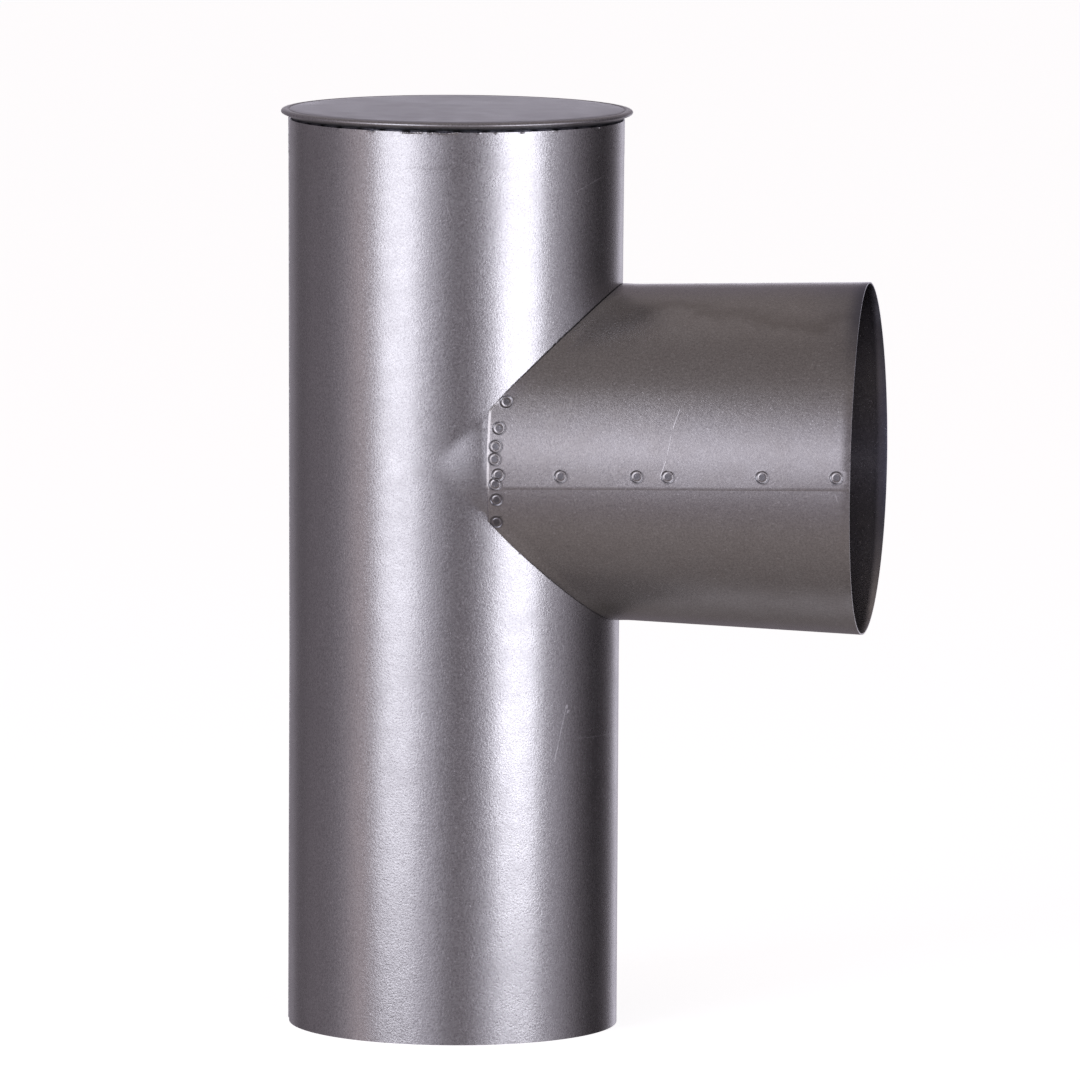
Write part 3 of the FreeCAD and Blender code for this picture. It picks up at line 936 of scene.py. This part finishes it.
@dataclass
class CoverCap:
    """The plug cap: one pressed sheet, a flat disc with a folded rim and a crimped skirt.

    The skirt's, the crease's and the neck's measures are in millimetres. The crease of the disc
    and the neck under the rim are darkened with painted shade.
    """

    steps: int = 480
    crimps: int = 40
    crimp_depth: float = 0.7 * MM
    crimp_width: float = 4.6 * MM
    crimp_top: float = 414.9 * MM
    crimp_fade: float = 1.6 * MM
    crimped_from: float = 70 * MM
    skirt_low: float = 394.0
    skirt_radius: float = 75.3
    sheet: float = 0.6
    crease_level: float = 418.0
    crease_radius: float = 76.45
    crease_width: float = 0.3
    # strength of the painted shade in the disc's crease
    crease_shade: float = 0.8
    neck_levels: tuple[float, float] = (415.3, 414.7)
    neck_radius: float = 75.0
    # strength of the painted shade on the neck under the rim
    neck_shade: float = 0.35

    def profile(self) -> list[tuple[float, float]]:
        """The closed outline of the pressed sheet, as radius and height in millimetres."""
        over = [
            (0, 418.5), (40, 418.5), (70, 418.5), (75.6, 418.5), (76.0, 418.42), (76.3, 418.2),
            (76.6, 418.2), (76.9, 418.42), (77.4, 418.55), (78.0, 418.52), (78.7, 418.42),
            (79.3, 418.25), (79.7, 418.0), (79.92, 417.7), (80.0, 417.4), (79.95, 417.1),
            (79.75, 416.8), (79.3, 416.5), (78.5, 416.15), (77.5, 415.75), (76.5, 415.35),
            (75.9, 415.05), (75.5, 414.6), (75.35, 414.0),
        ]
        levels = [413.2, 412.5, 411.8, 411.0, 410.0, 408.0, 405.0, 402.0, 399.0, 396.5, 394.6]
        outside = [(self.skirt_radius, level) for level in levels]
        edge = [(self.skirt_radius - inset, self.skirt_low) for inset in (0.15, 0.45)]
        inner = self.skirt_radius - self.sheet
        inside = [(inner, level) for level in reversed(levels)]
        under = [
            (74.8, 414.5), (75.1, 415.2), (76.0, 415.85), (77.2, 416.3), (78.4, 416.78),
            (79.1, 417.1), (79.35, 417.4), (79.05, 417.68), (78.4, 417.82), (77.4, 417.92),
            (76.9, 417.8), (76.5, 417.6), (76.2, 417.6), (75.8, 417.8), (75.3, 417.9),
            (70, 417.9), (40, 417.9), (0, 417.9),
        ]
        return over + outside + edge + inside + under

    def crimp(self, point: Vector) -> float:
        """How far the skirt is pressed in at a point."""
        angle = math.atan2(point.y, point.x)
        pitch = FULL_TURN / self.crimps
        aside = abs(math.remainder(angle, pitch)) * self.skirt_radius * MM
        shape = 0.5 * (1 + math.cos(math.pi * min(1.0, 2 * aside / self.crimp_width)))
        low = self.crimp_top - self.crimp_fade
        return self.crimp_depth * shape * smooth(point.z, self.crimp_top, low)

    def painted_rim_shade(self, point: Vector) -> float:
        """How dark the painted shade is in the disc's crease and on the neck under the rim."""
        radius, height = point.xy.length / MM, point.z / MM
        if height > self.crease_level:
            return self.crease_shade * bump(radius - self.crease_radius, self.crease_width)
        if radius > self.neck_radius:
            return self.neck_shade * smooth(height, *self.neck_levels)
        return 0.0

    def build(self, finish: SheetFinish) -> bpy.types.Object:
        """Builds the cap and dresses it.

        Args:
            finish: the sheet's finish.

        Returns:
            The finished piece.
        """
        mesh = bmesh.new()
        outline = [Vector((radius, 0.0, height)) * MM for radius, height in self.profile()]
        verts = [mesh.verts.new(point) for point in outline]
        edges = [mesh.edges.new(pair) for pair in zip(verts, verts[1:])]
        bmesh.ops.spin(
            mesh, geom=verts + edges, cent=(0, 0, 0), axis=(0, 0, 1), angle=FULL_TURN,
            steps=self.steps, use_merge=True,
        )
        bmesh.ops.remove_doubles(mesh, verts=mesh.verts[:], dist=MERGED)
        bmesh.ops.recalc_face_normals(mesh, faces=mesh.faces[:])
        layer = mesh.verts.layers.float.new(PRINT_AND_SHADE_LAYER)
        for vert in mesh.verts:
            # painted shade in the disc's crease and on the neck under the rim, kept in the print
            # layer
            vert[layer] = self.painted_rim_shade(vert.co)
            if vert.co.z < self.crimp_top and vert.co.xy.length > self.crimped_from:
                pressed = vert.co.xy.length - self.crimp(vert.co)
                vert.co.xy = vert.co.xy.normalized() * pressed
        piece = as_object("cap_sheet_pressed", mesh)
        dress(piece, finish, Slot.CAP, Body.CAP, "cover_cap", 40.0)
        return piece


@dataclass(frozen=True)
class Softbox:
    """A soft studio lamp: a lit panel that faces the object.

    The azimuth is in degrees to the right of the camera, seen from the object.
    """

    name: str
    azimuth: float
    distance: float
    middle: float
    width: float
    height: float
    radiance: float
    tint: tuple[float, float, float] = (0.93, 0.92, 1.0)

    def build(self, camera_azimuth: float) -> None:
        """Hangs the lamp, turned to the object and unseen by the camera."""
        data = bpy.data.lights.new(self.name, "AREA")
        data.shape = "RECTANGLE"
        data.size = self.width
        data.size_y = self.height
        data.energy = self.radiance * math.pi * self.width * self.height
        data.color = self.tint
        lamp = bpy.data.objects.new(self.name, data)
        bpy.context.scene.collection.objects.link(lamp)
        turn = math.radians(camera_azimuth + self.azimuth)
        way = Vector((math.sin(turn), -math.cos(turn), 0.0))
        place = way * self.distance + Vector((0.0, 0.0, self.middle))
        facing = way.to_track_quat("Z", "Y").to_matrix().to_4x4()
        lamp.matrix_world = Matrix.Translation(place) @ facing
        lamp.visible_camera = False


LAMP_TINT = (0.91, 0.885, 1.0)
WALL_TINT = (1.0, 0.87, 0.98)
WARM_TINT = (1.0, 0.87, 0.86)
RUST_TINT = (1.0, 0.55, 0.35)


@dataclass(frozen=True)
class Glow:
    """A soft patch of light, or of shade where its strength is negative, on the room's walls.

    Angles are in degrees: the azimuth to the right of the camera, seen from the object, and the
    level above the horizon, each with the half width of the patch.
    """

    strength: float
    azimuth: float
    across: float
    level: float
    up: float
    tint: tuple[float, float, float]

    def light(self, azimuth: Value, level: Value) -> Value:
        """The light of the patch in a direction."""
        turn = (azimuth - self.azimuth).maths("ABSOLUTE")
        nearest = turn.maths("MINIMUM", turn * -1 + 360)
        return nearest.bell(0.0, self.across) * level.bell(self.level, self.up) * self.strength


@dataclass(frozen=True)
class Studio:
    """The camera at the photograph's viewing angle, the soft light, the floor and the backdrop.

    The target is the point of the object that lies at the given pixel of a 1080 pixel picture.
    """

    azimuth: float = 8.5
    elevation: float = 6.83
    roll: float = 0.27
    distance: float = 5.7
    target: tuple[float, float, float] = (0.0, 0.0, 0.207)
    pixel: tuple[float, float] = (454.9, 571.1)
    picture: float = 1080.0
    pixels_per_metre: float = 2192.0
    sensor: float = 36.0
    far: float = 200.0
    wall_light: float = 0.2
    behind_from: tuple[float, float] = (85.0, 120.0)
    warm_from: tuple[float, float] = (26.0, 48.0)
    floor_radius: float = 30.0
    floor_tone: float = 0.8
    softboxes: tuple[Softbox, ...] = (
        Softbox("softbox_left", -40, 1.6, 0.69, 0.8, 1.75, 1.85),
        Softbox("softbox_right", 43.5, 1.6, 0.25, 0.86, 0.91, 2.6),
    )
    glows: tuple[Glow, ...] = (
        Glow(0.30, -68, 17, 5, 35, LAMP_TINT),
        Glow(0.40, 70, 14, 5, 35, LAMP_TINT),
        Glow(0.52, 24, 8, 0, 35, LAMP_TINT),
        Glow(0.99, -20, 10, 8, 22, LAMP_TINT),
        Glow(-0.04, -4, 9, -5, 35, WALL_TINT),
        Glow(-0.17, 118, 24, -5, 50, WALL_TINT),
        Glow(0.95, 158, 9, -8, 14, LAMP_TINT),
        Glow(0.14, -158, 9, -5, 28, LAMP_TINT),
        Glow(-0.07, -137, 10, -5, 30, WALL_TINT),
        Glow(0.16, -69, 7, -5, 40, RUST_TINT),
        Glow(0.08, 0, 90, -42, 24, WARM_TINT),
        Glow(0.13, 180, 60, -75, 20, LAMP_TINT),
        Glow(1.30, 180, 9, 1, 8, LAMP_TINT),
    )

    def camera(self) -> None:
        """Sets the camera, aimed so that the object stands where it does in the photograph."""
        turn, tilt, roll = (math.radians(a) for a in (self.azimuth, self.elevation, self.roll))
        level = Vector((math.cos(turn), math.sin(turn), 0.0))
        ahead = Vector((math.sin(turn), -math.cos(turn), 0.0))
        away = ahead * math.cos(tilt) + Vector((0.0, 0.0, math.sin(tilt)))
        above = away.cross(level)
        right = level * math.cos(roll) + above * math.sin(roll)
        up = above * math.cos(roll) - level * math.sin(roll)
        target = Vector(self.target)
        aside = (self.picture / 2 - self.pixel[0]) / self.pixels_per_metre
        raised = (self.pixel[1] - self.picture / 2) / self.pixels_per_metre
        place = target + away * self.distance
        back = (place - target - right * aside - up * raised).normalized()
        right = (right - back * right.dot(back)).normalized()
        up = back.cross(right)
        data = bpy.data.cameras.new("camera")
        data.sensor_width = self.sensor
        data.lens = self.sensor * self.pixels_per_metre * self.distance / self.picture
        data.clip_end = self.far
        camera = bpy.data.objects.new("camera", data)
        bpy.context.scene.collection.objects.link(camera)
        facing = Matrix((right, up, back)).transposed().to_4x4()
        camera.matrix_world = Matrix.Translation(place) @ facing
        bpy.context.scene.camera = camera

    def world(self) -> None:
        """The room round the object: dim walls, a warmer ceiling and a paler wall behind."""
        world = bpy.data.worlds.new("room")
        world.use_nodes = True
        bpy.context.scene.world = world
        recipe = Recipe(world.node_tree)
        ground = world.node_tree.nodes["Background"]
        x, y, z = recipe.split(recipe.node("ShaderNodeTexCoord", output="Generated"))
        turn = math.radians(self.azimuth)
        ahead = x * math.sin(turn) - y * math.cos(turn)
        aside = x * math.cos(turn) + y * math.sin(turn)
        azimuth = aside.maths("ARCTAN2", ahead) * math.degrees(1)
        level = z.maths("ARCSINE") * math.degrees(1)
        warm = level.maths("ABSOLUTE").step(*self.warm_from)
        tint = recipe.mix(warm, (*WALL_TINT, 1.0), (*WARM_TINT, 1.0))
        walls = self.wall_light - level.bell(-90.0, 14.0) * 0.045
        behind = azimuth.maths("ABSOLUTE").step(*self.behind_from)
        walls = walls + behind * level.bell(65.0, 28.0) * 0.06
        walls = walls - behind * level.bell(-50.0, 20.0) * 0.04
        room = self.lit(recipe, tint, walls)
        for glow in self.glows:
            patch = self.lit(recipe, (*glow.tint, 1.0), glow.light(azimuth, level))
            settings = {"operation": "ADD"}
            room = recipe.node("ShaderNodeVectorMath", settings, {0: room, 1: patch})
        recipe.feed(ground.inputs["Color"], room)

    def lit(self, recipe: Recipe, tint: object, light: Value) -> Value:
        """A tint in a light: the colour times the number."""
        sockets = {0: tint, "Scale": light}
        if not isinstance(tint, Value):
            sockets[0] = tint[:3]
        return recipe.node("ShaderNodeVectorMath", {"operation": "SCALE"}, sockets)

    def floor(self) -> None:
        """The plain pale floor with the object's shadow, also the backdrop.

        The metal doesn't mirror it: the photographed sheet reflects dim walls and no floor.
        """
        material = bpy.data.materials.new("pale_floor")
        material.use_nodes = True
        recipe = Recipe(material.node_tree)
        tree = material.node_tree
        tree.nodes.remove(tree.nodes["Principled BSDF"])
        rays = recipe.node("ShaderNodeLightPath").socket.node.outputs
        seen = Value(recipe, rays["Is Camera Ray"]) + Value(recipe, rays["Is Glossy Ray"])
        seen = (seen + Value(recipe, rays["Is Transmission Ray"])).within()
        pale = (self.floor_tone, self.floor_tone, self.floor_tone, 1.0)
        matt = recipe.node("ShaderNodeBsdfDiffuse", None, {"Color": pale})
        glow = recipe.node("ShaderNodeEmission", None, {"Strength": seen * self.floor_tone})
        both = recipe.node("ShaderNodeAddShader", None, {0: matt, 1: glow})
        recipe.feed(tree.nodes["Material Output"].inputs["Surface"], both)
        mesh = bmesh.new()
        bmesh.ops.create_circle(mesh, cap_ends=True, segments=96, radius=self.floor_radius)
        floor = as_object("floor", mesh)
        floor.data.materials.append(material)
        floor.visible_glossy = False

    def build(self) -> None:
        """Sets up the whole studio."""
        self.camera()
        self.world()
        for softbox in self.softboxes:
            softbox.build(self.azimuth)
        self.floor()
        bpy.context.scene.view_settings.view_transform = "Standard"


PIPE_SCRATCHES = (
    Scratch((58.1, 150.9), (53.9, 127.7), 0.25, 0.7),
    Scratch((58.6, 152.6), (58.4, 151.4), 0.7, 1.0),
    Scratch((59.2, 150.2), (58.9, 149.4), 0.7, 0.9),
    Scratch((62.8, 137.0), (73.6, 136.0), 0.18, 0.6),
    Scratch((25.4, 108.2), (35.8, 103.6), 0.2, 0.5),
    Scratch((0.9, 64.5), (5.4, 67.0), 0.2, 0.5),
    Scratch((61.2, 385.6), (70.2, 390.9), 0.2, 0.6),
)
BRANCH_SCRATCHES = (
    Scratch((112.6, 291.1), (110.0, 283.0), 0.25, 0.9),
    Scratch((109.2, 279.5), (107.8, 271.0), 0.22, 0.7),
    Scratch((107.0, 268.0), (104.8, 261.5), 0.25, 0.9),
    Scratch((183.6, 255.1), (184.9, 251.4), 0.25, 0.8),
)


def main() -> None:
    """Builds the three sheets and the studio in order, and reports each piece."""
    logging.basicConfig(level=logging.INFO, format="%(name)s: %(message)s")
    pipe = MainPipe()
    pipe.build(
        SheetFinish(
            "pipe_aluminised", (0.64, 0.645, 0.655), (0.54, 0.54, 0.55),
            grain=0.066, speckle=0.24, scratches=PIPE_SCRATCHES,
        )
    )
    BranchPipe(pipe).build(
        SheetFinish(
            "branch_aluminised", (0.655, 0.655, 0.66), (0.54, 0.52, 0.51),
            speckle=0.2, scratches=BRANCH_SCRATCHES, tide=331.0,
            duct_radius=75.75, duct_start=60.0, duct_slope=0.0335, duct_level=263.1,
        )
    )
    CoverCap().build(
        SheetFinish(
            "cap_aluminised", (0.62, 0.625, 0.64), (0.575, 0.575, 0.59),
            # the cap's painted shade darkens its disc and skirt within the rim
            roughness=0.35, grain=0.037, speckle=0.22, inner_shade=0.43,
        )
    )
    Studio().build()
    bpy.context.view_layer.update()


if __name__ == "__main__":
    main()
